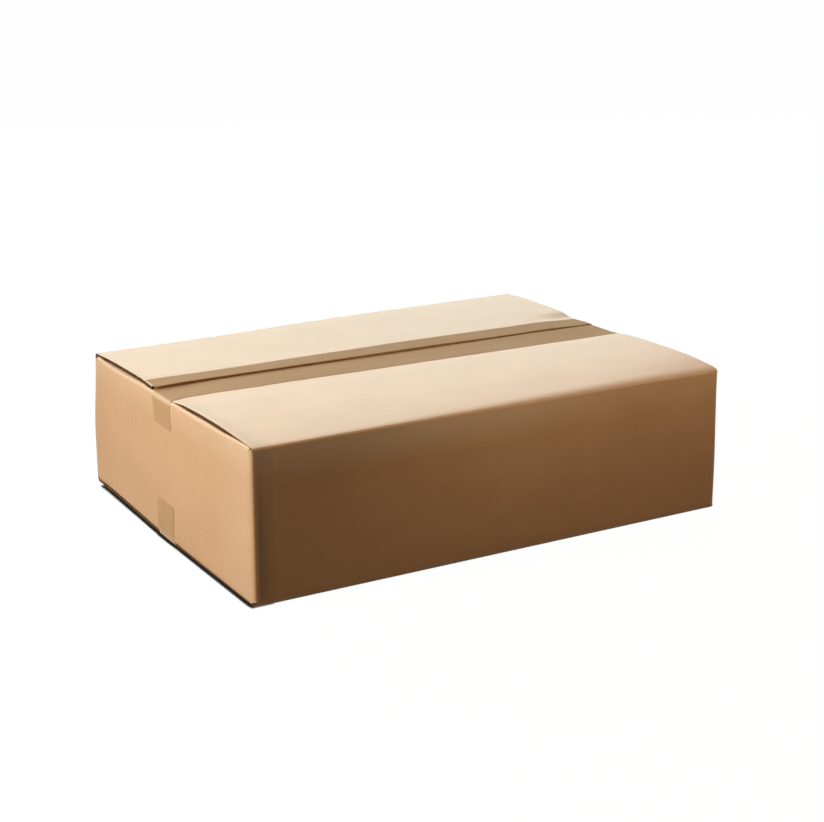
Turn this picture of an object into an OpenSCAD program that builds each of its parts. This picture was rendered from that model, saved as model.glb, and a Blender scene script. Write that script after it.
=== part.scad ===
// Closed slotted carton of corrugated board, taped along its top and bottom seams.
// The carton is one folded blank: four panels, two long flaps and two short flaps at each
// end of the panels, and a glued joint at the far right corner. The short flaps fold in
// first, and the long flaps close over them and meet at a seam that lies behind the middle.
// X runs along the long side, Y from the near side to the far side, Z up. The origin is the
// middle of the footprint, on the surface that the carton stands on.

/* [Carton] */
// Length over the end panels
box_l = 335; // [220:1:600]
// Width over the long panels
box_w = 250; // [180:1:450]
// Height from the long flaps' underside to their top at the folds
box_h = 96; // [70:1:400]
// Radius of the upright corner folds, outside
corner_r = 4; // [3.5:0.5:8]
// Radius of the folds at the flaps, outside
fold_r = 3.5; // [3.2:0.1:5]

/* [Board] */
// Thickness of the corrugated board
board_t = 2.5; // [2:0.1:3]
// Thickness of one flat paper liner
liner_t = 0.35; // [0.2:0.05:0.6]
// How far the fluting lies behind the liners at a cut edge
flute_depth = 3; // [1:0.5:5]

/* [Flaps] */
// How far the seam lies behind the middle of the carton
seam_y = 16.5; // [0:0.5:25]
// Open gap between the two long flaps
seam_gap = 2; // [1:0.25:4]
// Air between a long flap and the short flap under it
layer_gap = 0.3; // [0.2:0.05:1]
// How far a long flap's end stops short of the end panel's face
flap_setback = 1; // [0.5:0.25:2.5]
// Length of a short flap, from the end panel's face to its free edge
short_flap_l = 105; // [60:1:108]
// Rise of the near top flap between its fold and the tape
near_bow = 2.25; // [0.5:0.25:4]
// Rise of the far top flap between its fold and the tape
far_bow = 1; // [0.5:0.25:3]

/* [Glued joint] */
// Width of the tab that is glued inside the far panel
tab_w = 35; // [20:1:50]
// How far the far panel's cut edge stops short of the end panel's face
joint_setback = 0.5; // [0.25:0.25:2]

/* [Tape] */
// Thickness of the tape
tape_t = 0.2; // [0.15:0.05:0.4]
// Width of the tape
tape_w = 50; // [44:1:60]
// How far the top tape's middle lies behind the seam
top_tape_shift = -5.5; // [-10:0.5:10]
// How far the bottom tape's middle lies behind the seam
bottom_tape_shift = 0; // [-10:0.5:10]
// Length of the top tape's tails on the end panels
top_tail_l = 21; // [12:1:30]
// Length of the bottom tape's tails on the end panels
bottom_tail_l = 25; // [12:1:30]
// Depth of the crease that the tape makes at the seam
crease_depth = 1.2; // [0.5:0.1:1.8]
// Height over which a tail leans from the flap's edge out to the end panel
lean_h = 4.5; // [3.5:0.25:6]

/* [Hidden] */
$fn = 64;
board_colour = "#d9b48a";
tape_colour = "#b08f68";

// Straight steps along the bow of a flap
bow_steps = 20;
// Below 1, the crown of a bow lies nearer the fold than the tape.
bow_skew = 0.63;
// Length by which a cutting shape runs past what it cuts
past = 1;

half_l = box_l / 2;
half_w = box_w / 2;

// The flaps rest on the bottom tape, so the board starts one tape thickness up.
base_z = tape_t;
top_z = base_z + box_h;

// The end panels' folds lie one board and one air gap inside the long flaps.
end_low_z = base_z + board_t + layer_gap;
end_high_z = top_z - board_t - layer_gap;

// The long flaps reach from the long panels' faces to the two sides of the seam.
flap_end_x = half_l - flap_setback;
near_edge_y = seam_y - seam_gap / 2;
far_edge_y = seam_y + seam_gap / 2;

// The short flaps and the end panels' folds reach from one upright fold to the other. At
// the right end the far one is the tab's, which lies one board further in.
short_flap_near_y = corner_r - half_w;
short_flap_far_y = half_w - corner_r;

top_tape_near_y = seam_y + top_tape_shift - tape_w / 2;
top_tape_far_y = seam_y + top_tape_shift + tape_w / 2;
bottom_tape_near_y = seam_y + bottom_tape_shift - tape_w / 2;
bottom_tape_far_y = seam_y + bottom_tape_shift + tape_w / 2;

// Extrudes a YZ drawing along X, from x0 to x1.
module along_x(x0, x1) {
    translate([x0, 0, 0])
        rotate([90, 0, 90])
            linear_extrude(x1 - x0)
                children();
}

// Extrudes an XZ drawing along Y, from y0 to y1.
module along_y(y0, y1) {
    translate([0, y1, 0])
        rotate([90, 0, 0])
            linear_extrude(y1 - y0)
                children();
}

// Rectangle from corner to corner.
module span(low, high) {
    translate(low)
        square(high - low);
}

// Quarter of a bent board, around its centre, in the quadrant that toward names.
module quarter_bend(centre, outer_r, toward) {
    intersection() {
        translate(centre)
            difference() {
                circle(outer_r);
                circle(outer_r - board_t);
            }
        translate(centre)
            quadrant(outer_r + past, toward);
    }
}

// Square with one corner at the origin, in the quadrant that toward names.
module quadrant(side, toward) {
    translate([min(0, toward.x * side), min(0, toward.y * side)])
        square(side);
}

// Rectangle with round corners, about the origin.
module rounded_rectangle(size, r) {
    union() {
        square([size.x - 2 * r, size.y], center = true);
        square([size.x, size.y - 2 * r], center = true);
        for (x = [-1, 1], y = [-1, 1])
            translate([x * (size.x / 2 - r), y * (size.y / 2 - r)])
                circle(r);
    }
}

// Plan of the four panels: three folded corners and, at the far right, the glued joint.
module panel_plan() {
    joint_start = [half_l - 2 * corner_r, half_w - board_t - 2 * corner_r];
    bend_centre = [half_l - corner_r, half_w - board_t - corner_r];
    difference() {
        rounded_rectangle([box_l, box_w], corner_r);
        rounded_rectangle([box_l - 2 * board_t, box_w - 2 * board_t], corner_r - board_t);
        span(joint_start, [half_l + past, half_w + past]);
    }
    // Far panel, up to its cut edge
    difference() {
        span([joint_start.x, half_w - board_t], [half_l - joint_setback, half_w]);
        span([half_l - joint_setback - flute_depth, half_w - board_t + liner_t],
             [half_l + past, half_w - liner_t]);
    }
    // Right end panel, up to the tab's fold
    span([half_l - board_t, joint_start.y], [half_l, bend_centre.y]);
    quarter_bend(bend_centre, corner_r, [1, 1]);
    // Tab, glued to the inside of the far panel
    span([half_l - corner_r - tab_w, half_w - 2 * board_t], [bend_centre.x, half_w - board_t]);
}

// The four panels and their upright folds, between the folds of the end panels.
module panels() {
    translate([0, 0, end_low_z + fold_r])
        linear_extrude(end_high_z - end_low_z - 2 * fold_r)
            panel_plan();
}

// The long panels, with their upright folds and the tab, between the long flaps' folds.
module long_panels() {
    translate([0, 0, base_z + fold_r])
        linear_extrude(box_h - 2 * fold_r)
            intersection() {
                panel_plan();
                for (low_y = [-half_w, half_w - corner_r])
                    translate([-half_l, low_y])
                        square([box_l, corner_r]);
            }
}

// Side view of the long flaps' four folds.
module flap_folds() {
    for (side = [-1, 1]) {
        quarter_bend([side * (half_w - fold_r), base_z + fold_r], fold_r, [side, -1]);
        quarter_bend([side * (half_w - fold_r), top_z - fold_r], fold_r, [side, 1]);
    }
}

// Height of a sprung flap at the share u of the way from its fold to the tape. It rises
// steeply from the fold, which is a sharp score, and comes down slowly to the tape.
function bow_z(u, rise) = rise * sin(180 * pow(u, bow_skew));

// Side view of one top flap: bowed from its fold to the tape, flat from there to the seam.
// Its outer face is at top, at both ends of the bow.
module bowed_flap(fold_y, tape_y, edge_y, rise, top, thickness) {
    bow = [for (i = [0 : bow_steps]) [
        fold_y + (tape_y - fold_y) * i / bow_steps,
        top + bow_z(i / bow_steps, rise)
    ]];
    outer = concat(bow, [[edge_y, top]]);
    inner = [for (i = [len(outer) - 1 : -1 : 0]) outer[i] - [0, thickness]];
    polygon(concat(outer, inner));
}

// Side view of both top long flaps, or of what is left between faces moved in by inset.
module top_flap_profile(inset = 0) {
    top = top_z - inset;
    thickness = board_t - 2 * inset;
    bowed_flap(fold_r - half_w, top_tape_near_y, near_edge_y, near_bow, top, thickness);
    bowed_flap(half_w - fold_r, top_tape_far_y, far_edge_y, far_bow, top, thickness);
}

// Side view of the bottom long flaps, which lie flat.
module bottom_flap_profile(inset = 0) {
    low = base_z + inset;
    high = base_z + board_t - inset;
    span([fold_r - half_w, low], [near_edge_y, high]);
    span([far_edge_y, low], [half_w - fold_r, high]);
}

// The long flaps with their folds. At the cut ends the flutes run alongside the edge, so
// the fluting shows as one open channel between the two liners.
module long_flaps() {
    difference() {
        along_x(-flap_end_x, flap_end_x) {
            flap_folds();
            top_flap_profile();
            bottom_flap_profile();
        }
        for (side = [-1, 1])
            mirror([side < 0 ? 1 : 0, 0, 0])
                along_x(flap_end_x - flute_depth, flap_end_x + past) {
                    top_flap_profile(liner_t);
                    bottom_flap_profile(liner_t);
                }
    }
}

// One end panel's folds and its short flaps, top and bottom, drawn at the right end.
module short_flaps(near_y, far_y) {
    bend_x = half_l - fold_r;
    along_y(near_y, far_y) {
        quarter_bend([bend_x, end_low_z + fold_r], fold_r, [1, -1]);
        quarter_bend([bend_x, end_high_z - fold_r], fold_r, [1, 1]);
        span([half_l - short_flap_l, end_low_z], [bend_x, end_low_z + board_t]);
        span([half_l - short_flap_l, end_high_z - board_t], [bend_x, end_high_z]);
    }
}

// The whole folded blank.
module carton() {
    color(board_colour)
        union() {
            panels();
            long_panels();
            long_flaps();
            short_flaps(short_flap_near_y, short_flap_far_y - board_t);
            mirror([1, 0, 0])
                short_flaps(short_flap_near_y, short_flap_far_y);
        }
}

// Side view of a tape on the outside of the flaps, seen with the flaps below it. The tape
// lies flat from near_y to far_y and is creased into the gap at the seam.
module tape_profile(near_y, far_y) {
    polygon([
        [near_y, 0],
        [near_edge_y, 0],
        [seam_y, -crease_depth],
        [far_edge_y, 0],
        [far_y, 0],
        [far_y, tape_t],
        [far_edge_y, tape_t],
        [seam_y, tape_t - crease_depth],
        [near_edge_y, tape_t],
        [near_y, tape_t]
    ]);
}

// End view of a tail: over the flap's edge, out to the end panel and along its face.
// The drawing has the flap's outer face at zero height and the tail hanging down.
module tail_profile(tail_l) {
    polygon([
        [flap_end_x - past, 0],
        [flap_end_x, 0],
        [half_l, -lean_h],
        [half_l, -tail_l],
        [half_l + tape_t, -tail_l],
        [half_l + tape_t, -lean_h],
        [flap_end_x + tape_t, tape_t],
        [flap_end_x - past, tape_t]
    ]);
}

// Tape over one seam. Its right tail is as wide as the tape. On the left only the stretch
// up to the seam is folded down, and the rest ends level with the far flap's end.
module tape(near_y, far_y, tail_l) {
    along_x(-flap_end_x, flap_end_x)
        tape_profile(near_y, far_y);
    along_y(near_y, far_y)
        tail_profile(tail_l);
    mirror([1, 0, 0])
        along_y(near_y, near_edge_y)
            tail_profile(tail_l);
}

module top_tape() {
    color(tape_colour)
        translate([0, 0, top_z])
            tape(top_tape_near_y, top_tape_far_y, top_tail_l);
}

module bottom_tape() {
    color(tape_colour)
        translate([0, 0, base_z])
            mirror([0, 0, 1])
                tape(bottom_tape_near_y, bottom_tape_far_y, bottom_tail_l);
}

carton();
top_tape();
bottom_tape();
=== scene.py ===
# %% [markdown]
# # A closed cardboard carton
# The object is a slotted carton of brown corrugated board, closed and taped along its top
# and bottom seams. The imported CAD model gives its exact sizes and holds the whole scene: each
# piece that is made below is drawn in millimetres in the CAD frame and rides on its body.
# The frame is loaded first, because everything else is placed by it.

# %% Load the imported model
import math

import bmesh
import bpy
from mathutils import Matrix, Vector, noise


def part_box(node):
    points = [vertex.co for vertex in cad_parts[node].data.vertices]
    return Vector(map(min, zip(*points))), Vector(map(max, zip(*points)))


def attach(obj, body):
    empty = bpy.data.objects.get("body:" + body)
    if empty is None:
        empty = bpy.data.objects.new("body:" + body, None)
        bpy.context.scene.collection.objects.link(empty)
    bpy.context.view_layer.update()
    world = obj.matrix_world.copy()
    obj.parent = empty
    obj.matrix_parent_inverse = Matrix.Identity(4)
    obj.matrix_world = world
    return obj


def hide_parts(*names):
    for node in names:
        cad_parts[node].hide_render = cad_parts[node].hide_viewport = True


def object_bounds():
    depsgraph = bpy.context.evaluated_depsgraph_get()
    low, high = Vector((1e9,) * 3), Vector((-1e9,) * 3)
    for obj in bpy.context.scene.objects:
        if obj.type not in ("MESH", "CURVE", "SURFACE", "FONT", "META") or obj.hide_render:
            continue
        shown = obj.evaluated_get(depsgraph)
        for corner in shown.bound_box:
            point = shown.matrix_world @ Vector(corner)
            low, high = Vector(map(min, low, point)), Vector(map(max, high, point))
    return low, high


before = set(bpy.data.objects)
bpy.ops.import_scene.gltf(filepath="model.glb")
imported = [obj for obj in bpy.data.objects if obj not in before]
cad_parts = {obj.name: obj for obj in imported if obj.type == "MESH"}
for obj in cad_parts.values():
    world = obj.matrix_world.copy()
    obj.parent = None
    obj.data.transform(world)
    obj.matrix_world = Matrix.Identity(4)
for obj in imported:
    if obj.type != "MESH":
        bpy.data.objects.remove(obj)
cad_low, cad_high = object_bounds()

MM = 0.001
cad_size = [round((high - low) / MM, 2) for low, high in zip(cad_low, cad_high)]
print("CAD box in mm:", cad_size)

# %% [markdown]
# ## The camera
# A product picture of a low box is taken from a little above its top, with a long lens so
# that the far side doesn't shrink much. The numbers below were fitted to the seven visible
# corners of the carton. The focal length is kept in pixels of an 824 x 822 picture and turned
# into millimetres for the sensor's width.

# %% Camera
IMAGE_W = 824
FOCAL_PX = 1769.1
YAW = 30.43
PITCH = 16.77
SENSOR_W = 36.0
CAMERA_PLACE = (-0.5626, -0.9740, 0.3990)

camera_data = bpy.data.cameras.new("camera")
camera_data.sensor_fit = "HORIZONTAL"
camera_data.sensor_width = SENSOR_W
camera_data.lens = FOCAL_PX * SENSOR_W / IMAGE_W
camera = bpy.data.objects.new("camera", camera_data)
camera.location = CAMERA_PLACE
camera.rotation_euler = (math.radians(90 - PITCH), 0, math.radians(-YAW))
bpy.context.scene.collection.objects.link(camera)
bpy.context.scene.camera = camera
print("lens in mm:", round(camera_data.lens, 1))

# %% [markdown]
# ## Colours and shader nodes
# Colours are noted as sRGB hex values, as a colour picker shows them, but shaders work with
# linear light, so one function turns the first into the second. A second helper adds a node
# with its settings and its links in one line, which keeps the materials short to read.

# %% Colour and node helpers
def linear(hex_value):
    """Linear RGBA of an sRGB hex value such as "#C9A57B"."""
    parts = [int(hex_value[i:i + 2], 16) / 255 for i in (1, 3, 5)]
    light = [c / 12.92 if c <= 0.04045 else ((c + 0.055) / 1.055) ** 2.4 for c in parts]
    return (*light, 1.0)


def add_node(tree, kind, inputs=None, links=None, **settings):
    """Adds a node, sets its properties and socket values, and links sockets into it.

    A link may name a whole node, which stands for its first output.
    """
    node = tree.nodes.new(kind)
    for name, value in settings.items():
        setattr(node, name, value)
    for name, value in (inputs or {}).items():
        node.inputs[name].default_value = value
    for name, source in (links or {}).items():
        socket = source.outputs[0] if hasattr(source, "outputs") else source
        tree.links.new(socket, node.inputs[name])
    return node


def new_material(name):
    """An empty node material and its tree."""
    material = bpy.data.materials.new(name)
    material.use_nodes = True
    material.node_tree.nodes.clear()
    return material, material.node_tree


print("kraft in linear light:", [round(c, 3) for c in linear("#C9A276")[:3]])

# %% [markdown]
# ## Studio light
# The carton stands on a pale sweep. A large soft lamp behind and above it skims over the top
# flaps, which is what makes matte paper look almost cream there. A second one on the left
# lights the end panel. The long front panel stays deep brown, because only three weak warm
# lamps reach it: one above its right half, one far in front, and a thin strip of light that
# picks out its upper right corner. One even dome of light would be simpler, but it would make
# the top, the end and the front alike. The lamps are hidden from the camera, because the
# views go round the object.

# %% Lamps
# Each lamp's place, aim and size in metres, its power in watts and its colour.
LAMPS = {
    "back_softbox": ((0.58, 1.58, 0.80), (0.0, 0.0, 0.09), (1.8, 0.8), 28.4, "#F2FFF7"),
    "left_softbox": ((-0.70, -0.03, 0.35), (-0.17, -0.03, 0.09), (0.28, 0.36), 4.65, "#FFF7ED"),
    "over_front": ((0.22, -0.42, 0.50), (0.12, -0.125, 0.09), (0.45, 0.2), 0.75, "#FFC498"),
    "far_front": ((0.70, -1.50, 0.50), (0.0, -0.125, 0.05), (0.6, 0.6), 1.5, "#FFE68A"),
    "front_strip": ((0.28, -0.50, 0.25), (0.20, -0.125, 0.12), (0.5, 0.06), 0.028, "#FFF6D6"),
}
STRIP_SPREAD = 0.4                   # radians, which keeps the strip's light on the corner


def soft_lamp(name, place, aim, size, power, colour):
    """A rectangular area lamp at place, turned towards aim."""
    data = bpy.data.lights.new(name, "AREA")
    data.shape = "RECTANGLE"
    data.size, data.size_y = size
    data.energy = power
    data.color = linear(colour)[:3]
    lamp = bpy.data.objects.new(name, data)
    lamp.location = place
    lamp.rotation_euler = (Vector(aim) - Vector(place)).to_track_quat("-Z", "Y").to_euler()
    lamp.visible_camera = False
    bpy.context.scene.collection.objects.link(lamp)
    return lamp


lamps = {name: soft_lamp(name, *facts) for name, facts in LAMPS.items()}
lamps["front_strip"].data.spread = STRIP_SPREAD
print("lamps:", list(lamps))

# %% [markdown]
# ## Background
# Camera, glossy and transmission rays see the world as plain white, so the backdrop is white.
# The rays that carry diffuse light see it as black, so it adds no light to the carton and the
# lamps alone shape it.

# %% World
def shown_to(tree):
    """1 for camera, glossy and transmission rays, 0 for the rays that carry diffuse light."""
    rays = add_node(tree, "ShaderNodeLightPath").outputs
    seen = add_node(tree, "ShaderNodeMath", operation="MAXIMUM",
                    links={0: rays["Is Camera Ray"], 1: rays["Is Glossy Ray"]})
    return add_node(tree, "ShaderNodeMath", operation="MAXIMUM",
                    links={0: seen, 1: rays["Is Transmission Ray"]})


world = bpy.data.worlds.new("studio")
bpy.context.scene.world = world
world.use_nodes = True
sky = world.node_tree
sky.nodes.clear()
backdrop = add_node(sky, "ShaderNodeBackground", {"Color": linear("#FFFFFF")},
                    {"Strength": shown_to(sky)})
add_node(sky, "ShaderNodeOutputWorld", links={"Surface": backdrop})
bpy.context.scene.view_settings.view_transform = "Standard"
print("world:", world.name, "with", len(sky.nodes), "nodes")

# %% [markdown]
# ## Floor
# The floor is a large sheet. To the camera it is almost black and glows just enough to reach
# white; the other rays see a dark grey sheet, which keeps the light that it throws back low.
# The photo shows a thin contact shadow along the left end panel and nowhere else. So the glow
# is dimmed where ambient occlusion finds the carton within 4 mm, and two masks, one across X
# and one across Y, keep that dimming beside the left end.

# %% Floor
FLOOR_HALF = 6.0
GREY_TO_ROOM = (0.12, 0.12, 0.12, 1)
GREY_TO_CAMERA = (0.03, 0.03, 0.03, 1)
GLOW = 0.985
CONTACT = 0.0040                     # reach of the contact shadow, in metres
SHADED_AO, OPEN_AO = 0.74, 0.85      # occlusion where the glow is off and where it is full
END_FADE = (0.012, 0.014)            # inwards from the left end, in metres
SIDE_FADE = (-0.0018, 0.0002)        # outwards from the long sides
SHADOW_MIDDLE = 0.0012               # the shadow's middle lies a little behind the carton's

corners = [(x * FLOOR_HALF, y * FLOOR_HALF, 0) for x, y in ((-1, -1), (1, -1), (1, 1), (-1, 1))]
floor_mesh = bpy.data.meshes.new("floor")
floor_mesh.from_pydata(corners, [], [(0, 1, 2, 3)])
floor = bpy.data.objects.new("floor", floor_mesh)
bpy.context.scene.collection.objects.link(floor)

painted_sweep, tree = new_material("painted_sweep")
shown = shown_to(tree)
place = add_node(tree, "ShaderNodeNewGeometry").outputs["Position"]
axes = add_node(tree, "ShaderNodeSeparateXYZ", links={0: place}).outputs
past_end = add_node(tree, "ShaderNodeMapRange",
                    {1: cad_low[0] + END_FADE[0], 2: cad_low[0] + END_FADE[1], 3: 0.0, 4: 1.0},
                    {0: axes["X"]})
off_middle = add_node(tree, "ShaderNodeMath", {1: SHADOW_MIDDLE}, {0: axes["Y"]},
                      operation="SUBTRACT")
off_middle = add_node(tree, "ShaderNodeMath", links={0: off_middle}, operation="ABSOLUTE")
past_sides = add_node(tree, "ShaderNodeMapRange",
                      {1: SIDE_FADE[0] - cad_low[1], 2: SIDE_FADE[1] - cad_low[1],
                       3: 0.0, 4: 1.0}, {0: off_middle})
elsewhere = add_node(tree, "ShaderNodeMath", operation="MAXIMUM",
                     links={0: past_end, 1: past_sides})
openness = add_node(tree, "ShaderNodeAmbientOcclusion", {"Distance": CONTACT}, samples=16)
lit_up = add_node(tree, "ShaderNodeMapRange", {1: SHADED_AO, 2: OPEN_AO, 3: 0.0, 4: 1.0},
                  {0: openness.outputs["AO"]})
lit_up = add_node(tree, "ShaderNodeMath", operation="MAXIMUM", links={0: lit_up, 1: elsewhere})
glow = add_node(tree, "ShaderNodeMath", {1: GLOW}, {0: lit_up}, operation="MULTIPLY")
glow = add_node(tree, "ShaderNodeMath", operation="MULTIPLY", links={0: glow, 1: shown})
grey = add_node(tree, "ShaderNodeMix", {"A": GREY_TO_ROOM, "B": GREY_TO_CAMERA},
                {"Factor": shown}, data_type="RGBA")
matt = add_node(tree, "ShaderNodeBsdfDiffuse", links={"Color": grey.outputs["Result"]})
glowing = add_node(tree, "ShaderNodeEmission", links={"Strength": glow})
both = add_node(tree, "ShaderNodeAddShader", links={0: matt, 1: glowing})
add_node(tree, "ShaderNodeOutputMaterial", links={"Surface": both})
floor_mesh.materials.append(painted_sweep)
print("floor:", 2 * FLOOR_HALF, "m wide, its material has", len(tree.nodes), "nodes")

# %% [markdown]
# ## The board as a bent sheet
# A carton is one sheet of corrugated board that is cut flat, scored and folded. The mesh is
# made in the same way: a sheet is a set of nodes, each with a point on its outer face and one
# on its inner face, joined by quads. Where the sheet ends, the rim between the two faces is
# closed, so the mesh is watertight. A cut that runs alongside the flutes gets two paper lips
# with an open channel between them. Every node also keeps its place on the flat blank, and
# how much painted highlight the paper gets there. The materials draw the flutes and fibres by
# that place, so that they follow each fold. A bent plane with a Solidify modifier would be
# shorter to write, but it couldn't thin the board at its scores or open its cut edges.

# %% Sheet
LINER, CUT = 0, 1                    # material numbers of the faces


class Sheet:
    """A bent sheet of board or tape, in millimetres."""

    def __init__(self):
        self.nodes, self.quads, self.cuts = {}, [], {}

    def node(self, key, outer, inner, flat, cut=None):
        """A node; cut is the pair of points at the back of an open channel, if it has one."""
        self.nodes[key] = (tuple(outer), tuple(inner), tuple(flat))
        if cut:
            self.cuts[key] = cut

    def quad(self, *keys):
        """Four joined nodes; where two of them are the same node, nothing is added."""
        if len(set(keys)) == len(keys):
            self.quads.append(keys)

    def strip(self, first, second):
        """Quads between two equally long rows of node keys."""
        for a, b, c, d in zip(first, first[1:], second[1:], second):
            self.quad(a, b, c, d)

    def join(self, rows):
        """Strips between each row of node keys and the next."""
        for first, second in zip(rows, rows[1:]):
            self.strip(first, second)

    def rims(self):
        """Edges of the sheet that only one quad uses."""
        count = {}
        for quad in self.quads:
            for a, b in zip(quad, quad[1:] + quad[:1]):
                count.setdefault(frozenset((a, b)), []).append((a, b))
        return [pairs[0] for pairs in count.values() if len(pairs) == 1]


def toward(a, b, share):
    """The point at share of the way from a to b."""
    return tuple(p + (q - p) * share for p, q in zip(a, b))


# %% Faces of a sheet
MOST_LIP = 0.35                      # a lip takes no more than this share of a thin edge
TINY = 1e-6


def sheet_mesh(sheet, liner_t):
    """Points, flat places and (face, material number) pairs of a sheet, its rims closed."""
    points, flats, index, faces = [], [], {}, []

    def corner(key, part):
        """Number of one point of a node, which is made when it is first asked for."""
        if (key, part) not in index:
            outer, inner, flat = sheet.nodes[key]
            if part in ("lip_out", "lip_in", "back_out", "back_in"):
                if part.startswith("back"):
                    outer, inner = sheet.cuts[key]
                share = min(liner_t / max(math.dist(outer, inner), TINY), MOST_LIP)
                place = toward(outer, inner, share if part.endswith("out") else 1 - share)
            else:
                place = outer if part == "outer" else inner
            index[(key, part)] = len(points)
            points.append(place)
            flats.append(flat)
        return index[(key, part)]

    def face(kind, *corners):
        """Adds one face through the given points."""
        faces.append(([corner(key, part) for key, part in corners], kind))

    for quad in sheet.quads:
        face(LINER, *[(key, "outer") for key in quad])
        face(LINER, *[(key, "inner") for key in reversed(quad)])
    ends = {}                        # a dict, because it keeps its order from run to run
    for a, b in sheet.rims():
        if a in sheet.cuts and b in sheet.cuts:
            steps = ["outer", "lip_out", "back_out", "back_in", "lip_in", "inner"]
            for low, high in zip(steps, steps[1:]):
                face(CUT, (a, low), (a, high), (b, high), (b, low))
            continue
        ring = [(a, "outer")]
        if a in sheet.cuts:
            ring += [(a, "lip_out"), (a, "lip_in")]
        ring += [(a, "inner"), (b, "inner")]
        if b in sheet.cuts:
            ring += [(b, "lip_in"), (b, "lip_out")]
        face(CUT, *ring, (b, "outer"))
        for key in (a, b):
            if key in sheet.cuts:
                ends[key] = True
    for key in ends:
        face(CUT, (key, "lip_out"), (key, "back_out"), (key, "back_in"), (key, "lip_in"))
    return points, flats, faces


sample = Sheet()
for key, (x, y) in zip("abcd", ((0, 0), (9, 0), (9, 9), (0, 9))):
    sample.node(key, (x, y, 2), (x, y, 0), (x, y, 0))
sample.quad(*"abcd")
print("faces of a sheet with one quad:", len(sheet_mesh(sample, 0.3)[2]))

# %% [markdown]
# ## From a sheet to a Blender piece
# The sheet's faces become one mesh. Blender then turns all the normals outwards, which it can
# do because the mesh is closed. Faces are shaded smooth, and edges sharper than 32 degrees,
# such as the cut edges of the board, stay crisp.

# %% Piece maker
SHARP = math.radians(32)


def make_piece(name, sheet, materials, liner_t, shift):
    """Builds the piece, counts edges that aren't closed and stores the flat places on it."""
    points, flats, faces = sheet_mesh(sheet, liner_t)
    points = [[c * MM for c in shift(*p)] for p in points]
    mesh = bpy.data.meshes.new(name)
    mesh.from_pydata(points, [], [f for f, kind in faces])
    mesh.polygons.foreach_set("material_index", [kind for f, kind in faces])
    mesh.polygons.foreach_set("use_smooth", [True] * len(faces))
    flat = mesh.attributes.new("flat", "FLOAT_VECTOR", "POINT")
    flat.data.foreach_set("vector", [c for place in flats for c in place])
    bm = bmesh.new()
    bm.from_mesh(mesh)
    bmesh.ops.recalc_face_normals(bm, faces=bm.faces)
    open_edges = 0
    for edge in bm.edges:
        open_edges += len(edge.link_faces) != 2
        if len(edge.link_faces) == 2:
            edge.smooth = edge.calc_face_angle() < SHARP
    bm.to_mesh(mesh)
    bm.free()
    for material in materials:
        mesh.materials.append(material)
    piece = bpy.data.objects.new(name, mesh)
    bpy.context.scene.collection.objects.link(piece)
    print(name, "faces:", len(faces), "edges that don't close:", open_edges)
    return piece


print("edges stay crisp above", round(math.degrees(SHARP)), "degrees")

# %% [markdown]
# ## Sizes of the carton
# The sizes repeat those of the CAD source, in millimetres. The outer ones are read from the
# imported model's box, so that the two can't drift apart.

# %% Carton sizes
HALF_L = round(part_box("carton")[1].x / MM, 3)
HALF_W = round(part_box("carton")[1].y / MM, 3)
BASE_Z = round(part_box("carton")[0].z / MM, 3)
BOX_H = 96.0
TOP_Z = BASE_Z + BOX_H
BOARD_T = 2.5
LINER_T = 0.35
FOLD_T = 1.3                         # board that a score has crushed
LEAST_T = 0.4
FLUTE_DEPTH = 3.0                    # how far the channels in the cut edges are open
CORNER_R = 4.0
LONG_FOLD_R = {-1: 1.6, 1: 2.2}      # upper folds of the near and the far flap
LOW_FOLD_R = 3.0
END_FOLD_R = 2.4
END_LOW_R = 1.6
FLAP_END = HALF_L - 1.0
FLAT_X = HALF_L - CORNER_R
FLAT_Y = HALF_W - CORNER_R
SEAM_Y = 16.5
SEAM_GAP = 2.0
TAPE_T = 0.2
TAPE_NEAR = -14.0                    # the tape's near edge, where the near flap's bow ends
SHORT_FLAP = 105.0
AIR = 0.15                           # least gap between a long flap and what is under it
print("half length, half width, base and top:", HALF_L, HALF_W, BASE_Z, TOP_Z)

# %% [markdown]
# ## The spring of the flaps
# A carton that was packed by hand isn't as exact as its drawing. Its flaps spring up a little
# between the fold and the tape, the folds are tight at one end and soft at the other, and the
# left end panel's upper fold drops towards the far side. Each function below adds one such
# habit after another to a plain height, as sums of eased ramps in millimetres. A cloth or
# sculpting tool could do that too, but not to a tenth of a millimetre.

# %% Shape functions
WAVE = 0.10                          # faint waves of the board


def ramp(start, end, value):
    """0 at start, 1 at end, eased in between."""
    t = min(max((value - start) / (end - start), 0.0), 1.0)
    return t * t * (3 - 2 * t)


def seam(x):
    """Y of the seam: it runs a little askew, because the flaps were closed by hand."""
    return SEAM_Y + 1.0 - 2.0 * ramp(-HALF_L, HALF_L, x)


def at_left(x, reach=45):
    """1 at the left end, fading out over reach."""
    return ramp(reach - HALF_L, -HALF_L, x)


def near_flap_z(x, y):
    """Height of the near flap: it starts low at its fold and bows most on the right."""
    depth = y + HALF_W
    right = ramp(-HALF_L, HALF_L, x)
    share = min(max(depth / (TAPE_NEAR + HALF_W), 0.0), 1.0)
    rise = 0.35 + 0.45 * ramp(-150, 60, x)
    bow = 1.4 + 0.75 * at_left(x, 30) + 1.25 * right - rise
    held = 0.75 + 0.3 * ramp(-80, 20, x) + 0.9 * at_left(x)
    z = TOP_Z - 0.65 + rise * ramp(-0.5, 5.5, depth)
    z += bow * math.sin(math.pi * share ** (1 - 0.25 * right))
    z -= held * ramp(-34, -4, y)                              # the tape holds it down
    z -= 0.55 * ramp(110, 165, x) * ramp(-42, 12, y)          # more so at the right end
    return z - 0.5 * ramp(100, 165, x) * ramp(32, 3, depth)   # tight fold on the right


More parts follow.
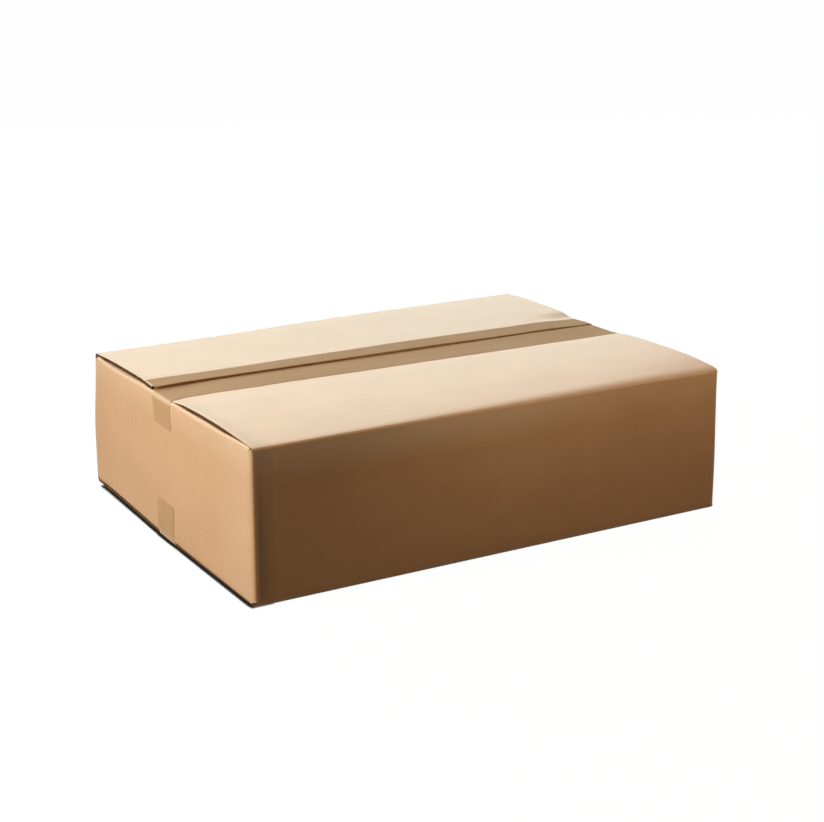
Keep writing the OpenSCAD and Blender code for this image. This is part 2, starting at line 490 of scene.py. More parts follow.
def far_flap_z(x, y):
    """Height of the far flap: flatter, with a hollow fold and a dip at its right end."""
    depth = HALF_W - y
    share = min(max(depth / (HALF_W - seam(x)), 0.0), 1.0)
    skew = 0.63 + 0.55 * at_left(x, 120)
    middle = 1 - ramp(0.6, 0.95, ramp(-HALF_L, HALF_L, x))
    hollow = 0.55 + 0.4 * math.exp(-((x + 75) / 50) ** 2)
    z = TOP_Z + (0.75 + 0.35 * at_left(x)) * math.sin(math.pi * share ** skew)
    z += 0.55 * middle * ramp(70, 25, y)                      # it stands up at the seam
    z -= ramp(125, 165, x) * (1.8 * ramp(54, 40, y) - 0.9 * ramp(36, 18, y))
    z -= 0.45 * ramp(-145, -165, x) * ramp(38, 18, y)         # pressed at the left tail
    return z - hollow * (1 - ramp(2, 30, depth))


def flap_z(x, y):
    """Height of the top flaps' outer face."""
    z = near_flap_z(x, y) if y < seam(x) else far_flap_z(x, y)
    return z + WAVE * noise.noise(Vector((x / 70, y / 45, 0.3))) * ramp(0, 25, HALF_W - abs(y))


def end_fold_top(x, y):
    """Top of the end panels' upper folds. The left one drops behind the middle."""
    if x > 0:
        return TOP_Z - BOARD_T - 0.3
    fold = 94.15 - 0.006 * y + 0.95 * ramp(-70, -FLAT_Y, y) - 0.75 * ramp(30, 75, y)
    fold += 1.1 * ramp(98, FLAT_Y, y)
    return min(fold, flap_z(1 - HALF_L, y) - 0.55)


def end_fold_low(x, y):
    """Bottom of the end panels' lower folds. The left one drops towards the near side."""
    return min(1.95 + 0.0091 * y, 3.0) if x < 0 else BASE_Z + BOARD_T + 0.3


def short_flap_z(x, y, top):
    """Outer face of the short flaps, which lie under the top or on the bottom long flaps."""
    inward = ramp(2.5, 16, HALF_L - abs(x))
    if top:
        fold, rest = end_fold_top(x, y), min(TOP_Z, flap_z(x, y)) - BOARD_T - 0.4
    else:
        fold, rest = end_fold_low(x, y), BASE_Z + BOARD_T + 0.3
    return fold + (rest - fold) * inward


def flap_t(x, y, top):
    """Thickness of a long flap: thin at its crushed score, and where an end fold presses."""
    past_fold = HALF_W - abs(y) - 3.0
    thickness = FOLD_T + (BOARD_T - FOLD_T) * ramp(0, 14, past_fold)
    if top:
        room = flap_z(x, y) - short_flap_z(x, y, True) - AIR
    else:
        room = short_flap_z(x, y, False) - BASE_Z - AIR
    return max(min(thickness, room), LEAST_T)


def settle(x, y, z):
    """Moves a point as the load did: the far left upper corner leans in and the lower one
    stands up by 3 mm, and the near right upper corner is pulled back."""
    lean = ramp(60, -HALF_L, x) * ramp(30, HALF_W, y) * ramp(35, TOP_Z, z)
    back = ramp(100, HALF_L, x) * ramp(0, -120, y) * ramp(20, 96, z)
    lift = ramp(-70, -HALF_L, x) * ramp(-10, 115, y) * (1 - z / BOX_H)
    return x + 1.5 * lean - 1.6 * back, y - 3.5 * lean, z - 1.2 * lean + 3.0 * lift


print("crown of the near flap:", round(max(flap_z(160, y) for y in range(-120, 0)), 2))

# %% [markdown]
# ## Panels
# The four panels are one strip that goes round the carton. It starts at the cut edge of the
# far panel, turns four rounded corners, and ends as the tab that is glued inside the far
# panel. Each station of the strip has a place and an outward direction.

# %% Stations round the carton
COLUMNS = 65
END_ROWS = 48
ARC_STEPS = 8
TURN_POWER = {0: 0.6, 90: 0.6, 180: 0.5, 270: 0.6}   # below 1 is squarer than a circle
JOINT_X = HALF_L - 0.5
TAB_Y = HALF_W - BOARD_T - 0.05
TAB_TURN_Y = TAB_Y - CORNER_R
TAB_END = HALF_L - CORNER_R - 35.0
TAB_STEPS = 6

columns = [-FLAT_X + 2 * FLAT_X * i / COLUMNS for i in range(COLUMNS + 1)]
end_rows = [-FLAT_Y + 2 * FLAT_Y * i / END_ROWS for i in range(END_ROWS + 1)]
right_rows = [-FLAT_Y + (TAB_TURN_Y + FLAT_Y) * i / END_ROWS for i in range(END_ROWS + 1)]
tab_columns = [FLAT_X - (FLAT_X - TAB_END) * i / TAB_STEPS for i in range(TAB_STEPS + 1)]


def arc(cx, cy, start):
    """Inner stations of a corner's quarter turn, without its two ends."""
    power = TURN_POWER[start]
    stations = []
    for i in range(1, ARC_STEPS):
        a = math.radians(start + 90 * i / ARC_STEPS)
        nx, ny = math.cos(a), math.sin(a)
        stations.append((cx + CORNER_R * math.copysign(abs(nx) ** power, nx),
                         cy + CORNER_R * math.copysign(abs(ny) ** power, ny), nx, ny))
    return stations


route = [("joint", JOINT_X, HALF_W, 0, 1), ("joint", FLAP_END - 2, HALF_W, 0, 1)]
route += [("far", x, HALF_W, 0, 1) for x in reversed(columns)]
route += [("corner", *s) for s in arc(-FLAT_X, FLAT_Y, 90)]
route += [("left", -HALF_L, y, -1, 0) for y in reversed(end_rows)]
route += [("corner", *s) for s in arc(-FLAT_X, -FLAT_Y, 180)]
route += [("near", x, -HALF_W, 0, -1) for x in columns]
route += [("corner", *s) for s in arc(FLAT_X, -FLAT_Y, 270)]
route += [("right", HALF_L, y, 1, 0) for y in right_rows]
route += [("corner", *s) for s in arc(FLAT_X, TAB_TURN_Y, 0)]
route += [("tab", x, TAB_Y, 0, 1) for x in tab_columns]
print("stations:", len(route))

# %% [markdown]
# ## Walls
# Every station becomes a column of nodes from the lower fold to the upper one. The board is
# thinner beside its scores, the panels are a little hollow between their stiff edges, and the
# near panel is pressed in beside the near left corner post. A painted highlight makes the paper
# paler at the upper edges and on the left panel towards that post.

# %% Panels and corners
PANEL_ROWS = 16
DEEPEST = 0.35                       # of a panel's hollows
CALM = 30                            # reach of the stiff edges into a panel
POST_PRESS, POST_REACH = 0.55, 9


def panel_heights(kind, x, y):
    """Where a panel's folds begin, at the bottom and at the top."""
    if kind in ("left", "right"):
        return end_fold_low(x, y) + END_LOW_R, end_fold_top(x, y) - END_FOLD_R
    side = -1 if y < 0 else 1
    low, high = BASE_Z + LOW_FOLD_R, flap_z(x, side * HALF_W) - LONG_FOLD_R[side]
    if kind == "corner":
        turned = ramp(FLAT_X, HALF_L, abs(x))
        high += (end_fold_top(x, y) + 0.1 - high) * turned
    if kind == "joint":
        return low + 0.1, high - 0.1
    if kind == "tab":
        return low + 2.5, high - 2.5
    return low, high


def hollow(x, y, z, low, high):
    """Shallow hollows of a panel, none at its folds and corners."""
    calm = ramp(0, CALM, z - low) * ramp(0, CALM, high - z)
    calm *= max(ramp(0, 40, FLAT_X - abs(x)), ramp(0, 40, FLAT_Y - abs(y)))
    return DEEPEST * calm * (0.5 + 0.5 * noise.noise(Vector((x / 80, y / 80, z / 60))))


def post(x, y, z, high):
    """How far the near panel is pressed in beside the near left corner post."""
    if y > -FLAT_Y or x > 0:
        return 0.0
    beside = max(0.0, 1 - max(0.0, x + FLAT_X) / POST_REACH) ** 2
    return POST_PRESS * beside * min(1.0, (-y - FLAT_Y) / CORNER_R) * ramp(0, 4, high - z)


board = Sheet()
wall = []
travelled = 0.0
for i, (kind, x, y, nx, ny) in enumerate(route):
    if i:
        travelled += math.hypot(x - route[i - 1][1], y - route[i - 1][2])
    low, high = panel_heights(kind, x, y)
    keys = []
    for k in range(PANEL_ROWS + 1):
        z = low + (high - low) * k / PANEL_ROWS
        thickness = FOLD_T + (BOARD_T - FOLD_T) * ramp(0, 8, min(z - low, high - z))
        if kind in ("joint", "tab"):
            thickness = BOARD_T
        sunk = 0.0 if kind in ("joint", "tab", "corner") else hollow(x, y, z, low, high)
        sunk += post(x, y, z, high)
        outer = (x - nx * sunk, y - ny * sunk, z)
        inner = (x - nx * (thickness + sunk), y - ny * (thickness + sunk), z)
        cut = None
        if i == 0:
            cut = [(px - FLUTE_DEPTH, py, pz) for px, py, pz in (outer, inner)]
        # Painted highlight: paler paper along the upper folds, strongest on the near panel's
        # left part, and on the left panel towards the near post.
        painted_highlight = 0.55 * ramp(22, 0, high - z)
        if kind == "near":
            painted_highlight = (0.35 + 1.35 * ramp(130, -100, x)) * ramp(24, 0, high - z)
        if kind == "left":
            painted_highlight += 0.4 * ramp(-55, -FLAT_Y, y)
        keys.append(("wall", i, k))
        board.node(keys[-1], outer, inner, (travelled, z, painted_highlight), cut)
    wall.append((kind, x, y, travelled, keys))
board.join([station[-1] for station in wall])
print("blank length in mm:", round(travelled))

# %% [markdown]
# ## Flaps
# A flap starts on the last row of its panel, turns through a quarter circle at the score and
# runs inwards. The long flaps overhang the rounded corners by a few millimetres, which gives
# the carton its pointed upper corners. The short flaps are folded in first and lie under
# them, out of sight.

# %% Long flaps
FOLD_STEPS = 8
FLAP_STEPS = 40
FAR_EDGE = 2.4                       # the far flap's cut edge stands back behind the seam


def long_profile(side, top, x):
    """Outer points, thicknesses and lengths of a long flap at x, from its fold to the seam."""
    radius = LONG_FOLD_R[side] if top else LOW_FOLD_R
    edge = seam(x) + (FAR_EDGE if top and side > 0 else side * SEAM_GAP / 2)
    rows = []
    for k in range(FOLD_STEPS + 1):
        a = math.radians(90 * k / FOLD_STEPS)
        y = side * (HALF_W - radius * (1 - math.cos(a)))
        drop = radius * (1 - math.sin(a))
        z = flap_z(x, y) - drop if top else BASE_Z + drop
        rows.append((y, z, FOLD_T, side * math.cos(a), math.sin(a), radius * a))
    start = rows[-1][0]
    for k in range(1, FLAP_STEPS + 1):
        y = start + (edge - start) * k / FLAP_STEPS
        thickness = flap_t(x, y, top)
        z = flap_z(x, y) if top else BASE_Z
        rows.append((y, z, thickness, 0.0, 1.0, rows[FOLD_STEPS][5] + abs(y - start)))
    return rows


def add_long_flap(side, top):
    """Adds one long flap to the board, joined to its panel along the straight columns."""
    kind = "near" if side < 0 else "far"
    joined = {round(x, 3): (u, keys) for name, x, y, u, keys in wall if name == kind}
    overhang = [-FLAP_END, -FLAP_END + 2]
    places = overhang + columns + [-x for x in reversed(overhang)]
    low_u, high_u = joined[round(-FLAT_X, 3)][0], joined[round(FLAT_X, 3)][0]
    sign = 1 if top else -1
    rows_of = []
    for x in places:
        u = low_u + (high_u - low_u) * (x + FLAT_X) / (2 * FLAT_X)
        hinge = TOP_Z if top else BASE_Z
        keys = []
        for k, (y, z, t, ny, nz, run) in enumerate(long_profile(side, top, x)):
            key = ("flap", side, top, x, k)
            if k == 0 and round(x, 3) in joined:
                keys.append(joined[round(x, 3)][1][-1 if top else 0])
                continue
            cut = None
            if abs(x) == FLAP_END:
                inside = math.copysign(FLAP_END - FLUTE_DEPTH, x)
                by, bz, bt, bny, bnz, _ = long_profile(side, top, inside)[k]
                cut = [(inside, by, bz), (inside, by - bny * bt, bz - sign * bnz * bt)]
            # Painted highlight along the near flap's upper fold, stronger to the right.
            painted_highlight = 0.0
            if top and side < 0:
                painted_highlight = (0.5 + 0.9 * ramp(-120, 120, x)) * ramp(9, 3, run)
            board.node(key, (x, y, z), (x, y - ny * t, z - sign * nz * t),
                       (u, hinge + sign * run, painted_highlight), cut)
            keys.append(key)
        rows_of.append(keys)
    board.join(rows_of)


for side in (-1, 1):
    for top in (True, False):
        add_long_flap(side, top)
print("long flap depths in mm:", [round(HALF_W + s * seam(0), 1) for s in (1, -1)])

# %% Short flaps
SHORT_STEPS = 12


def add_short_flap(kind, top):
    """Adds one short flap, joined to its end panel along its whole width."""
    sign = 1 if top else -1
    rows_of = []
    for name, x, y, u, keys in wall:
        if name != kind:
            continue
        outward = math.copysign(1, x)
        fold = end_fold_top(x, y) if top else end_fold_low(x, y)
        radius = END_FOLD_R if top else END_LOW_R
        row = [keys[-1 if top else 0]]
        for k in range(1, FOLD_STEPS + 1):
            a = math.radians(90 * k / FOLD_STEPS)
            px = outward * (HALF_L - radius * (1 - math.cos(a)))
            pz = fold - sign * radius * (1 - math.sin(a))
            inner = (px - outward * FOLD_T * math.cos(a), y, pz - sign * FOLD_T * math.sin(a))
            row.append(("short", kind, top, y, k))
            # Painted highlight on the end folds, palest on the upper fold's crest.
            painted_highlight = 0.6 + 1.9 * ramp(0, 1, a) if top else 0.3
            board.node(row[-1], (px, y, pz), inner, (u, pz + sign * 5 * a, painted_highlight))
        for k in range(1, SHORT_STEPS + 1):
            inward = radius + (SHORT_FLAP - radius) * (k / SHORT_STEPS) ** 1.5
            px = outward * (HALF_L - inward)
            pz = short_flap_z(px, y, top)
            t = FOLD_T + (BOARD_T - FOLD_T) * ramp(4, 18, inward)
            row.append(("short", kind, top, y, FOLD_STEPS + k))
            board.node(row[-1], (px, y, pz), (px, y, pz - sign * t),
                       (u, fold + sign * inward, 0.0))
        rows_of.append(row)
    board.join(rows_of)


for kind in ("left", "right"):
    for top in (True, False):
        add_short_flap(kind, top)
print("sheet nodes:", len(board.nodes))

# %% [markdown]
# ## Fluting in the cut edges
# The long flaps are cut alongside their flutes, so between the two liners one sees a single
# channel, and in it the edge of the fluting paper, which wanders from one liner to the other
# because the cut never runs quite true. It is a thin sheet of its own inside each channel.

# %% Fluting
FLUTING_T = 0.3
WANDER = 26.0                        # from one crossing of the channel to the next but one
fluting = Sheet()


def add_fluting(side, top, end):
    """The edge of the fluting paper in the channel at one end of a long flap."""
    sign = 1 if top else -1
    rows_of = []
    for inside in (0.25, FLUTE_DEPTH + 0.3):
        x = end * (FLAP_END - inside)
        keys = []
        for k, (y, z, t, ny, nz, run) in enumerate(long_profile(side, top, x)):
            wave = math.sin(2 * math.pi * run / WANDER + side + 2 * end)
            wave += 0.5 * noise.noise(Vector((run / 9, side * 3, end * 5)))
            middle = 0.5 + 0.22 * wave
            half = min(FLUTING_T, 0.3 * t) / 2
            keys.append(("medium", side, top, end, inside, k))
            places = [(x, y - ny * (t * middle + s * half),
                       z - sign * nz * (t * middle + s * half)) for s in (-1, 1)]
            fluting.node(keys[-1], places[0], places[1], (x, run, 0.0))
        rows_of.append(keys)
    fluting.join(rows_of)


for side in (-1, 1):
    for top in (True, False):
        for end in (-1, 1):
            add_fluting(side, top, end)
print("fluting nodes:", len(fluting.nodes))

# %% [markdown]
# ## Packing tape
# The tape is a strip a fifth of a millimetre thick. It lies on the two long flaps, dips into
# the open gap between them and is rolled over the flap's edge onto the end panel. On the left
# only its near half is folded down; the far half was trimmed level with the flap. The dip is
# a crease whose far side folds forward over it like a lip, and the shade under that lip shows
# as a dark line. It grows a little fainter to the right, where the flaps meet more closely.
# A line that is only painted on would stay dark from the far side too, where none shows.

# %% Edges and section of the tape
TAPE_STEP = 2.5
CROSS_STEPS = 9
NEAR_HALF = CROSS_STEPS + 1          # places across the near half, up to the seam


def tape_near(x):
    """Near edge of the top tape: askew, wider at its left tail, and wavy from the hand."""
    wobble = noise.noise(Vector((x / 24, 7.0, 0))) + 0.5 * noise.noise(Vector((x / 9, 2.0, 0)))
    left = 1.6 * ramp(-120, -150, x) - 2.3 * ramp(-154, -166, x)
    return -9.8 - 5.8 * ramp(-170, 150, x) + left + 0.6 * wobble


def tape_far(x):
    """Far edge of the top tape."""
    wobble = noise.noise(Vector((x / 40, 1.0, 3.0)))
    return 32.0 + 2.2 * ramp(-140, 20, x) + 1.4 * ramp(115, 160, x) + 0.3 * wobble


def crease(x):
    """How far the tape dips into the gap at the seam."""
    depth = 0.9 + 0.15 * noise.noise(Vector((x / 30, 4.0, 1.0)))
    return depth * (1 - 0.4 * ramp(100, 165, x))


def tape_section(x, near, far, depth, step):
    """Places across the tape: Y, height above the flaps' faces, and Y where it lies flat."""
    middle = seam(x)
    lip, start = middle - 0.6, middle + 2.2
    rows = [(near + (lip - near) * k / CROSS_STEPS, 0.0) for k in range(CROSS_STEPS + 1)]
    rows += [(middle - 0.25, -0.5 * depth), (middle + 0.1, -step - depth),   # down
             (middle + 1.3, -step - depth), (middle + 2.0, -step),           # the floor
             (middle + 2.1, -0.55), (middle + 0.65, -0.35),                  # under the lip
             (middle + 0.35, -0.15), (middle + 0.55, 0.0)]                   # round the lip
    rows += [(start + (far - start) * k / CROSS_STEPS, 0.0) for k in range(CROSS_STEPS + 1)]
    flat = near
    placed = []
    for y, lift in rows:
        flat = max(flat + 0.05, y if lift == 0.0 else 0.0)
        placed.append((y, lift, flat))
    return placed


print("places across the tape:", len(tape_section(0, tape_near(0), tape_far(0), crease(0), 0)))

# %% [markdown]
# ## Strip and tails
# One function makes the strip that lies on the flaps, and another the tail that turns over
# the end fold and runs down or up the end panel. Both the top and the bottom tape use them.

# %% Strip and tails
TAPE_END = 165.0
TAIL_STEPS = 10
GLUE = 0.004                         # keeps the tape's under face off the board
FOLD_TURN = (50, 38, 26, 14, 0)      # degrees round the end fold
tape_columns = [TAPE_STEP * i - TAPE_END for i in range(round(2 * TAPE_END / TAPE_STEP) + 1)]


def tail_path(gap, radius):
    """Inset from the end panel and drop of a tail's outer face, from flap to panel."""
    path = [(2.3, 0.0), (1.7, 0.02), (1.2, 0.1), (0.92, 0.28), (0.8, 0.4 + 0.6 * gap)]
    for angle in FOLD_TURN:
        a = math.radians(angle)
        path.append((radius * (1 - math.cos(a)) - TAPE_T * math.cos(a),
                     TAPE_T + gap + radius * (1 - math.sin(a)) - TAPE_T * math.sin(a)))
    return path


def tape_strip(sheet, section, surface, sign, tag):
    """Adds the strip on the flaps; returns its first and its last row of keys."""
    strips = []
    for x in tape_columns:
        rows = section(x)
        line = [(y, surface(x, y) + sign * lift) for y, lift, flat in rows]
        keys = []
        for j, (y, z) in enumerate(line):
            (y0, z0), (y1, z1) = line[max(j - 1, 0)], line[min(j + 1, len(line) - 1)]
            size = max(math.hypot(y1 - y0, z1 - z0), TINY)
            ny, nz = -sign * (z1 - z0) / size, sign * (y1 - y0) / size
            keys.append((tag, round(x, 3), j))
            sheet.node(keys[-1], (x, y + ny * TAPE_T, z + nz * TAPE_T),
                       (x, y + ny * GLUE, z + nz * GLUE), (x, rows[j][2], 0.0))
        strips.append(keys)
    sheet.join(strips)
    return strips[0], strips[-1]


def tape_tail(sheet, rows, last, end, surface, fold, sign, foot, spread, tag):
    """Adds one tail: over the end fold first, then in even steps to its foot."""
    x = end * TAPE_END
    panel = "left" if end < 0 else "right"
    radius = END_FOLD_R if sign > 0 else END_LOW_R
    turns = len(tail_path(1, radius))
    for i in range(turns + TAIL_STEPS):
        share = max(0, i - turns + 1) / TAIL_STEPS
        slope = min(1.0, i / (turns - 1))
        # Painted highlight where the tape rolls over the end fold.
        painted_highlight = 1.5 * ramp(2, 4, i) * ramp(turns, turns - 3, i)
        keys = []
        for j, (y, lift, flat) in enumerate(rows):
            top = surface(x, y) + sign * TAPE_T
            gap = abs(surface(x, y) - fold(end * HALF_L, y))
            inset, drop = tail_path(gap, radius)[min(i, turns - 1)]
            begin = top - sign * drop
            pz = begin + (foot - begin) * share + sign * lift * max(0.0, 1 - i / 3)
            py = y + (flat - y) * min(1.0, i / 3) + spread(j / (len(rows) - 1), share)
            low, high = panel_heights(panel, end * HALF_L, py)
            px = end * (HALF_L - inset)
            px -= end * (hollow(end * HALF_L, py, pz, low, high) if share else 0.0)
            inner = (px - end * (TAPE_T - GLUE) * slope, py,
                     pz - sign * (TAPE_T - GLUE) * (1 - slope))
            keys.append((tag, "tail", end, i, j))
            sheet.node(keys[-1], (px, py, pz), inner, (px + end * abs(pz - top), flat, painted_highlight))
        sheet.strip(last, keys)
        last = keys


def make_tape(section, surface, fold, sign, foot, spread, tag):
    """A sheet with one whole tape; its left tail is only the near half of the strip."""
    sheet = Sheet()
    first, last = tape_strip(sheet, section, surface, sign, tag)
    for end, keys, rows in ((-1, first[:NEAR_HALF], section(-TAPE_END)[:NEAR_HALF]),
                            (1, last, section(TAPE_END))):
        tape_tail(sheet, rows, keys, end, surface, fold, sign, foot, spread, tag)
    return sheet


print("columns of the tape:", len(tape_columns))

# %% [markdown]
# ## Top tape
# The far flap lies higher than the near one at the seam, so the crease of the top tape has
# to bridge that step. Its tails end a little over 20 mm below the top.

# %% Top tape
TOP_TAIL_FOOT = 75.2
TAIL_PULL = -0.8                     # the tails narrow a little on the way down


def seam_step(x):
    """How much higher the far flap lies than the near one at the seam."""
    return max(0.0, flap_z(x, seam(x) + 0.1) - flap_z(x, seam(x) - 0.1))


def top_section(x):
    """The top tape's section at x."""
    return tape_section(x, tape_near(x), tape_far(x), crease(x), seam_step(x))


top_tape = make_tape(top_section, flap_z, end_fold_top, 1, TOP_TAIL_FOOT,
                     lambda across, down: TAIL_PULL * down * across, "top")
print("top tape width in mm at the middle:", round(tape_far(0) - tape_near(0), 1))

# %% [markdown]
# ## Bottom tape
# The carton stands on it, so it lies flat, and only its tail on the left end panel shows.
# The hidden side is finished like the top: one strip, its middle on the seam.

# %% Bottom tape
BOTTOM_NEAR, BOTTOM_FAR = SEAM_Y - 25.0, SEAM_Y + 25.0
BOTTOM_CREASE = 0.7
BOTTOM_TAIL_TOP = 25.2
BOTTOM_PULL = -1.5                   # the tails lean forward on the way up


def bottom_section(x):
    """The bottom tape's section at x."""
    near = BOTTOM_NEAR + 0.3 * noise.noise(Vector((x / 30, 9.0, 2.0)))
    return tape_section(x, near, BOTTOM_FAR, BOTTOM_CREASE, 0.0)


bottom_tape = make_tape(bottom_section, lambda x, y: BASE_Z, end_fold_low, -1,
                        BOTTOM_TAIL_TOP, lambda across, down: BOTTOM_PULL * down, "bottom")
print("bottom tape width in mm:", BOTTOM_FAR - BOTTOM_NEAR)

# %% [markdown]
# ## Kraft liner
# The faces of the board are unbleached kraft paper. Its colour comes from the wood pulp, so
# it is uneven at three scales: cloudy patches a few centimetres wide, fine streaks where the
# fibres lie along the paper machine's run, and faint stripes where the paper is glued to the
# flutes, one every 6.35 mm in B-flute board. Real fibres are 1 to 3 mm long and thinner than
# a pixel, so bundles of them are drawn, 8 mm long and 1.3 mm wide. The paper is pressed flat
# but not coated: matte from above, with a soft gloss where light skims over it. Its IOR lies
# between that of cellulose, 1.47, and that of the air between the fibres.

# %% Pulp of the paper
CLOUD_SHARE, FIBRE_SHARE = 0.62, 0.38
CLOUD_DETAIL, FIBRE_DETAIL = 3.0, 4.0
FIBRE_RELIEF = 0.35


def mottle(tree, place, size, detail):
    """Soft spots on the flat blank; size is theirs in millimetres, across and along."""
    spot = add_node(tree, "ShaderNodeVectorMath", {1: (1 / size[0], 1 / size[1], 1)},
                    {0: place}, operation="MULTIPLY")
    return add_node(tree, "ShaderNodeTexNoise", {"Scale": 1.0, "Detail": detail},
                    {"Vector": spot})


def pulp(tree, place, fibre_size, cloud_size):
    """Tone of the pulp, from its clouds and fibres, and the relief of the fibres."""
    clouds = mottle(tree, place, cloud_size, CLOUD_DETAIL)
    fibres = mottle(tree, place, fibre_size, FIBRE_DETAIL)
    cloudy = add_node(tree, "ShaderNodeMath", {1: CLOUD_SHARE}, {0: clouds},
                      operation="MULTIPLY")
    tone = add_node(tree, "ShaderNodeMath", {1: FIBRE_SHARE}, {0: fibres, 2: cloudy},
                    operation="MULTIPLY_ADD")
    relief = add_node(tree, "ShaderNodeMath", {1: FIBRE_RELIEF}, {0: fibres},
                      operation="MULTIPLY")
    return tone, relief


print("share of clouds and fibres in the tone:", CLOUD_SHARE, FIBRE_SHARE)

# %% [markdown]
# ## Flutes and the painted shade by the post
# The stripes of the fluting come and go in patches. They fade towards the upper folds and are
# faint on the top flaps, and on the near panel they show most beside the left corner post.
# Beside the same post a painted shade makes the paper darker.

# %% Flute stripes and painted shade
FLUTE_PITCH = 6.35
FLUTE_PATCH, PATCH_DETAIL = (60, 90), 2.0
POST_U = next(u for kind, x, y, u, keys in wall if kind == "near")


def faded(tree, strength, fades):
    """Strength times a factor per fade: source, start, end, factor before, factor after."""
    for source, start, end, before, after in fades:
        factor = add_node(tree, "ShaderNodeMapRange", {1: start, 2: end, 3: before, 4: after},
                          {0: source})
        strength = add_node(tree, "ShaderNodeMath", operation="MULTIPLY",
                            links={0: strength, 1: factor})
    return strength


def flute_stripes(tree, place, across, up):
    """A wave of -1 to 1 with the pitch of the flutes, fading as the real stripes do."""
    phase = add_node(tree, "ShaderNodeMath", {1: 2 * math.pi / FLUTE_PITCH}, {0: across},
                     operation="MULTIPLY")
    stripe = add_node(tree, "ShaderNodeMath", links={0: phase}, operation="SINE")
    patches = mottle(tree, place, FLUTE_PATCH, PATCH_DETAIL)
    return faded(tree, stripe, [(patches, 0.35, 0.7, 0.1, 1.0), (up, 90, 100, 1.0, 0.1),
                                (across, POST_U, POST_U + 70, 1.0, 0.12)])


def painted_post_shade(tree, across, up):
    """How strongly shade is painted beside the near left post: 0 to 0.6, less higher up."""
    edge = add_node(tree, "ShaderNodeMapRange", {1: POST_U - 1.5, 2: POST_U, 3: 0.0, 4: 0.6},
                    {0: across})
    return faded(tree, edge, [(across, POST_U + 1, POST_U + 11, 1.0, 0.0),
                              (up, 50, 94, 1.0, 0.3)])


print("flutes on the long side:", round(2 * HALF_L / FLUTE_PITCH))

# %% [markdown]
# ## Papers of the carton
# Board, cut edge and tape are all paper, so one function makes the three. It mixes a dark
# and a light brown by the tone of the pulp, and paints a pale highlight where the nodes ask for
# one.

# %% Paper
HIGHLIGHT_TINT = "#EED9BC"                     # pale colour of the painted highlights
POST_SHADE_COLOUR = "#7C5630"                   # painted shade beside the near left post
HIGHLIGHT_SHARE = 0.32
TONE_RANGE = {1: 0.3, 2: 0.7, 3: 0.0, 4: 1.0}
FLUTE_SHADE, FLUTE_RELIEF = 0.035, 1.5
PAPER_IOR = 1.36
RELIEF_HEIGHT = 0.0001


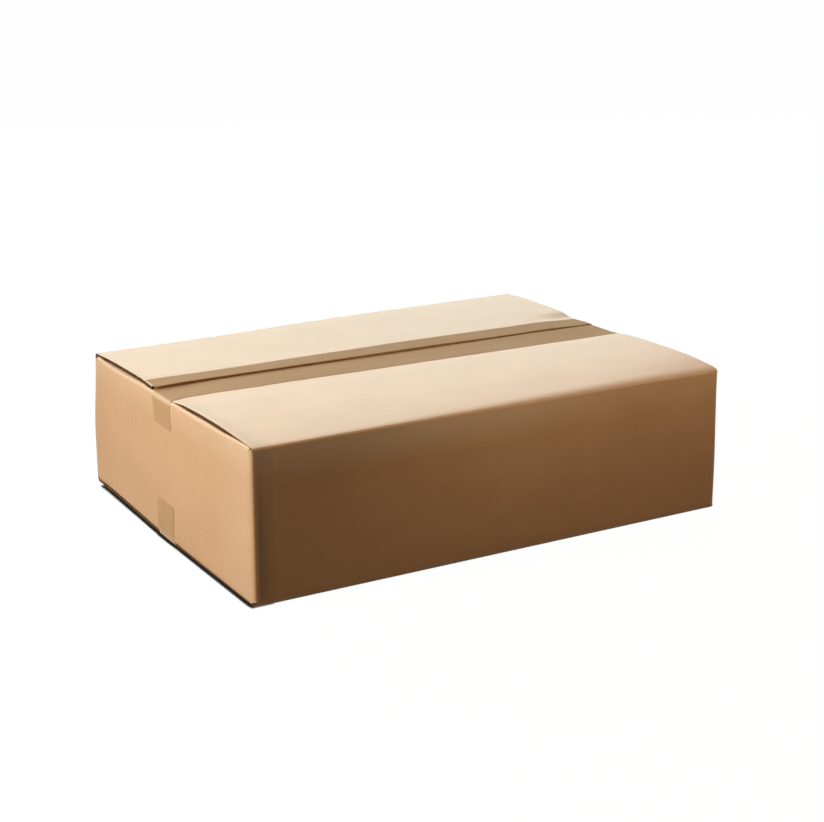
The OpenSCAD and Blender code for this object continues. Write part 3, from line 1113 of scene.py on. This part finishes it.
def paper(name, dark, light, fibre_size, cloud_size, roughness, bump, fluted=False):
    """Matte paper: clouds, fibres, painted highlights and, on the board, flutes and painted
    shade beside the post.
    """
    material, tree = new_material(name)
    place = add_node(tree, "ShaderNodeAttribute", attribute_name="flat").outputs["Vector"]
    across, up, painted_highlight = add_node(tree, "ShaderNodeSeparateXYZ", links={0: place}).outputs
    tone, height = pulp(tree, place, fibre_size, cloud_size)
    if fluted:
        stripe = flute_stripes(tree, place, across, up)
        tone = add_node(tree, "ShaderNodeMath", {1: FLUTE_SHADE}, {0: stripe, 2: tone},
                        operation="MULTIPLY_ADD")
        height = add_node(tree, "ShaderNodeMath", {1: FLUTE_RELIEF}, {0: stripe, 2: height},
                          operation="MULTIPLY_ADD")
    shade = add_node(tree, "ShaderNodeMapRange", TONE_RANGE, {0: tone})
    colour = add_node(tree, "ShaderNodeMix", {"A": linear(dark), "B": linear(light)},
                      {"Factor": shade}, data_type="RGBA").outputs["Result"]
    # Mixes in the pale painted highlight by the flat attribute's third value.
    highlit = add_node(tree, "ShaderNodeMath", {1: HIGHLIGHT_SHARE}, {0: painted_highlight}, operation="MULTIPLY")
    colour = add_node(tree, "ShaderNodeMix", {"B": linear(HIGHLIGHT_TINT)},
                      {"Factor": highlit, "A": colour}, data_type="RGBA").outputs["Result"]
    # Painted shade: darker paper beside the near left post.
    if fluted:
        post_shade = painted_post_shade(tree, across, up)
        colour = add_node(tree, "ShaderNodeMix", {"B": linear(POST_SHADE_COLOUR)},
                          {"Factor": post_shade, "A": colour}, data_type="RGBA").outputs["Result"]
    relief = add_node(tree, "ShaderNodeBump", {"Strength": bump, "Distance": RELIEF_HEIGHT},
                      {"Height": height})
    skin = add_node(tree, "ShaderNodeBsdfPrincipled", {"Roughness": roughness, "IOR": PAPER_IOR},
                    {"Base Color": colour, "Normal": relief})
    add_node(tree, "ShaderNodeOutputMaterial", links={"Surface": skin})
    return material


kraft_liner = paper("kraft_liner", "#C59B6E", "#D1A67A", (8, 1.3), (46, 34), 0.48, 0.3, True)
print("kraft liner nodes:", len(kraft_liner.node_tree.nodes))

# %% [markdown]
# ## Cut board and tape
# A cut edge shows the same pulp, torn open, rough and fully matte. Its pulp is darker than
# the liner, and painted shade darkens it further, so that its lit paper lips look as dark as a
# shaded edge.
# The tape is a thinner, browner paper with its streaks along the roll, drawn 30 mm long and
# 1.6 mm wide so that they show. Its face is rougher than the liner, so it lacks the soft
# gloss and looks darker beside the board wherever light skims.

# %% Cut edge and tape materials
# Partly painted shade: the cut edge's colours, lips included, are darker than its pulp alone.
cut_pulp_and_shade = paper("cut_board_pulp_and_shade", "#5E4328", "#82613E", (2.5, 1.5), (12, 9), 0.9, 0.8)
kraft_tape = paper("kraft_paper_tape", "#B8936A", "#C09E76", (30, 1.6), (60, 12), 0.85, 0.3)
print("materials:", [m.name for m in bpy.data.materials])

# %% [markdown]
# ## The finished pieces
# The detailed carton, fluting and tapes stand for the plain CAD solids, which stay in the
# frame for collision only. All of them ride on the one body of the carton.

# %% Pieces
# Each piece's name, its sheet, its materials (liner, cut), its CAD node and its slot.
PIECES = (
    ("carton_board", board, [kraft_liner, cut_pulp_and_shade], "carton", "kraft_board"),
    ("carton_fluting", fluting, [cut_pulp_and_shade, cut_pulp_and_shade], "carton", "kraft_board"),
    ("seam_tape_top", top_tape, [kraft_tape, kraft_tape], "top_tape", "paper_tape"),
    ("seam_tape_bottom", bottom_tape, [kraft_tape, kraft_tape], "bottom_tape", "paper_tape"),
)
for name, sheet, materials, node, slot in PIECES:
    piece = make_piece(name, sheet, materials, LINER_T, settle)
    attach(piece, "root")
    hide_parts(node)
